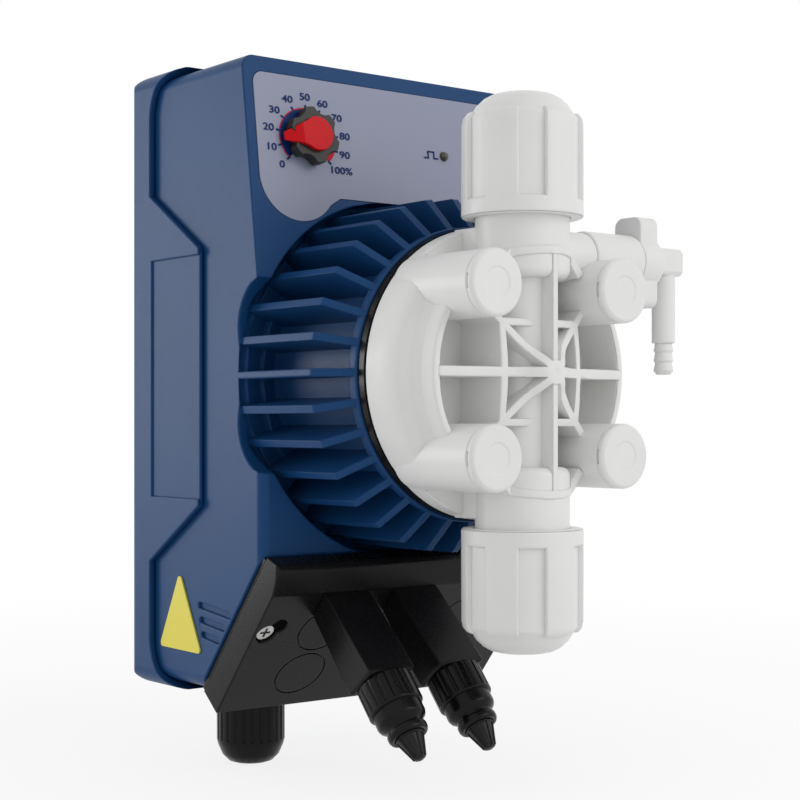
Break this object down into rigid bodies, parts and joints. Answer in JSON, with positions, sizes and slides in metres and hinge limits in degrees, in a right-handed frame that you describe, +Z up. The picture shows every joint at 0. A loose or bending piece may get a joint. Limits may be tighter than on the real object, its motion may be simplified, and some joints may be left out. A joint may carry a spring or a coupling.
{
  "type": "diaphragm metering pump",
  "caption": "Wall-mounted solenoid metering pump: blue finned casing, leaning dial panel, black terminal cover, white ribbed head with ball valves, union nuts and bleed knob.",
  "frame": {"origin": "middle of the four wall screws, on the wall face of the bracket", "axes": "+X across the casing, +Y from the pump head back into the wall, +Z up"},
  "size_m": [0.1194, 0.1561, 0.2235],
  "materials": {
    "case_blue": "satin moulded glass-filled polypropylene",
    "bracket_grey": "satin moulded",
    "zinc_screw": "zinc plated",
    "chrome_screw": "polished",
    "gasket_rubber": "matte",
    "label_yellow": "printed film",
    "steel": "turned",
    "bobbin_plastic": "moulded",
    "copper_winding": "enamelled copper wire",
    "brass": "turned",
    "backplate_black": "moulded",
    "diaphragm_ptfe": "PTFE faced rubber",
    "head_white": "satin moulded PVDF",
    "ceramic": "polished ceramic",
    "overlay_film": "printed polyester film",
    "knob_black": "moulded",
    "pointer_red": "moulded",
    "pot_metal": "plain",
    "led_lens": "clear lens, unlit",
    "board_green": "solder mask",
    "spacer_nylon": "moulded",
    "lid_black": "satin moulded",
    "cone_rubber": "matte",
    "terminal_grey": "moulded"
  },
  "bodies": {
    "casing": {"backplate": "backplate_black", "bleed_body": "head_white", "bleed_ring": "gasket_rubber", "bleed_spout": "head_white", "board_spacers": "spacer_nylon", "boss_caps": "head_white", "bracket_screws": "zinc_screw", "circuit_board": "board_green", "coil_bobbin": "bobbin_plastic", "coil_winding": "copper_winding", "cover_screws": "zinc_screw", "diaphragm": "diaphragm_ptfe", "discharge_cage": "head_white", "discharge_clamp_ring": "head_white", "discharge_nipple": "head_white", "discharge_nut": "head_white", "discharge_seat": "head_white", "discharge_seat_ring": "gasket_rubber", "front_housing": "case_blue", "gland_body": "lid_black", "gland_locknut": "lid_black", "gland_nut": "lid_black", "gland_seal": "gasket_rubber", "head_inserts": "brass", "head_screws": "zinc_screw", "housing_gasket": "gasket_rubber", "lid_gasket": "gasket_rubber", "lid_screws": "chrome_screw", "panel_overlay": "overlay_film", "pole_bush": "brass", "potentiometer": "pot_metal", "pump_head": "head_white", "rear_cover": "case_blue", "return_spring": "steel", "signal_chutes": "lid_black", "signal_cones": "cone_rubber", "signal_nuts": "lid_black", "solenoid_back_plate": "steel", "solenoid_can": "steel", "status_led": "led_lens", "suction_cage": "head_white", "suction_clamp_ring": "head_white", "suction_nipple": "head_white", "suction_nut": "head_white", "suction_seat": "head_white", "suction_seat_ring": "gasket_rubber", "terminal_block": "terminal_grey", "terminal_lid": "lid_black", "wall_bracket": "bracket_grey", "warning_triangle": "label_yellow"},
    "plunger": {"armature": "steel", "plunger_shaft": "steel", "diaphragm_insert": "steel"},
    "dial": {"dial_shaft": "pot_metal", "dial_knob": "knob_black", "knob_pointer": "pointer_red"},
    "bleed_knob": {"bleed_handle": "head_white"},
    "discharge_valve_ball": {"discharge_ball": "ceramic"},
    "suction_valve_ball": {"suction_ball": "ceramic"}
  },
  "joints": [
    {"name": "plunger_stroke", "type": "slide", "parent": "casing", "child": "plunger", "axis": [0, -1, 0], "range_m": [0, 0.001], "stiffness_N_per_m": 4000, "springref_m": -0.002, "deforming": ["return_spring", "diaphragm"]},
    {"name": "stroke_dial_turn", "type": "hinge", "parent": "casing", "child": "dial", "pos_m": [-0.0315, -0.07512, 0.135], "axis": [0, -0.9917, 0.1288], "range_deg": [-229.5, 40.5]},
    {"name": "bleed_knob_turn", "type": "hinge", "parent": "casing", "child": "bleed_knob", "pos_m": [0.045, -0.1384, 0.0965], "axis": [1, 0, 0], "range_deg": [0, 90]},
    {"name": "discharge_ball_lift", "type": "slide", "parent": "casing", "child": "discharge_valve_ball", "axis": [0, 0, 1], "range_m": [0, 0.0015]},
    {"name": "suction_ball_lift", "type": "slide", "parent": "casing", "child": "suction_valve_ball", "axis": [0, 0, 1], "range_m": [0, 0.0015]}
  ]
}
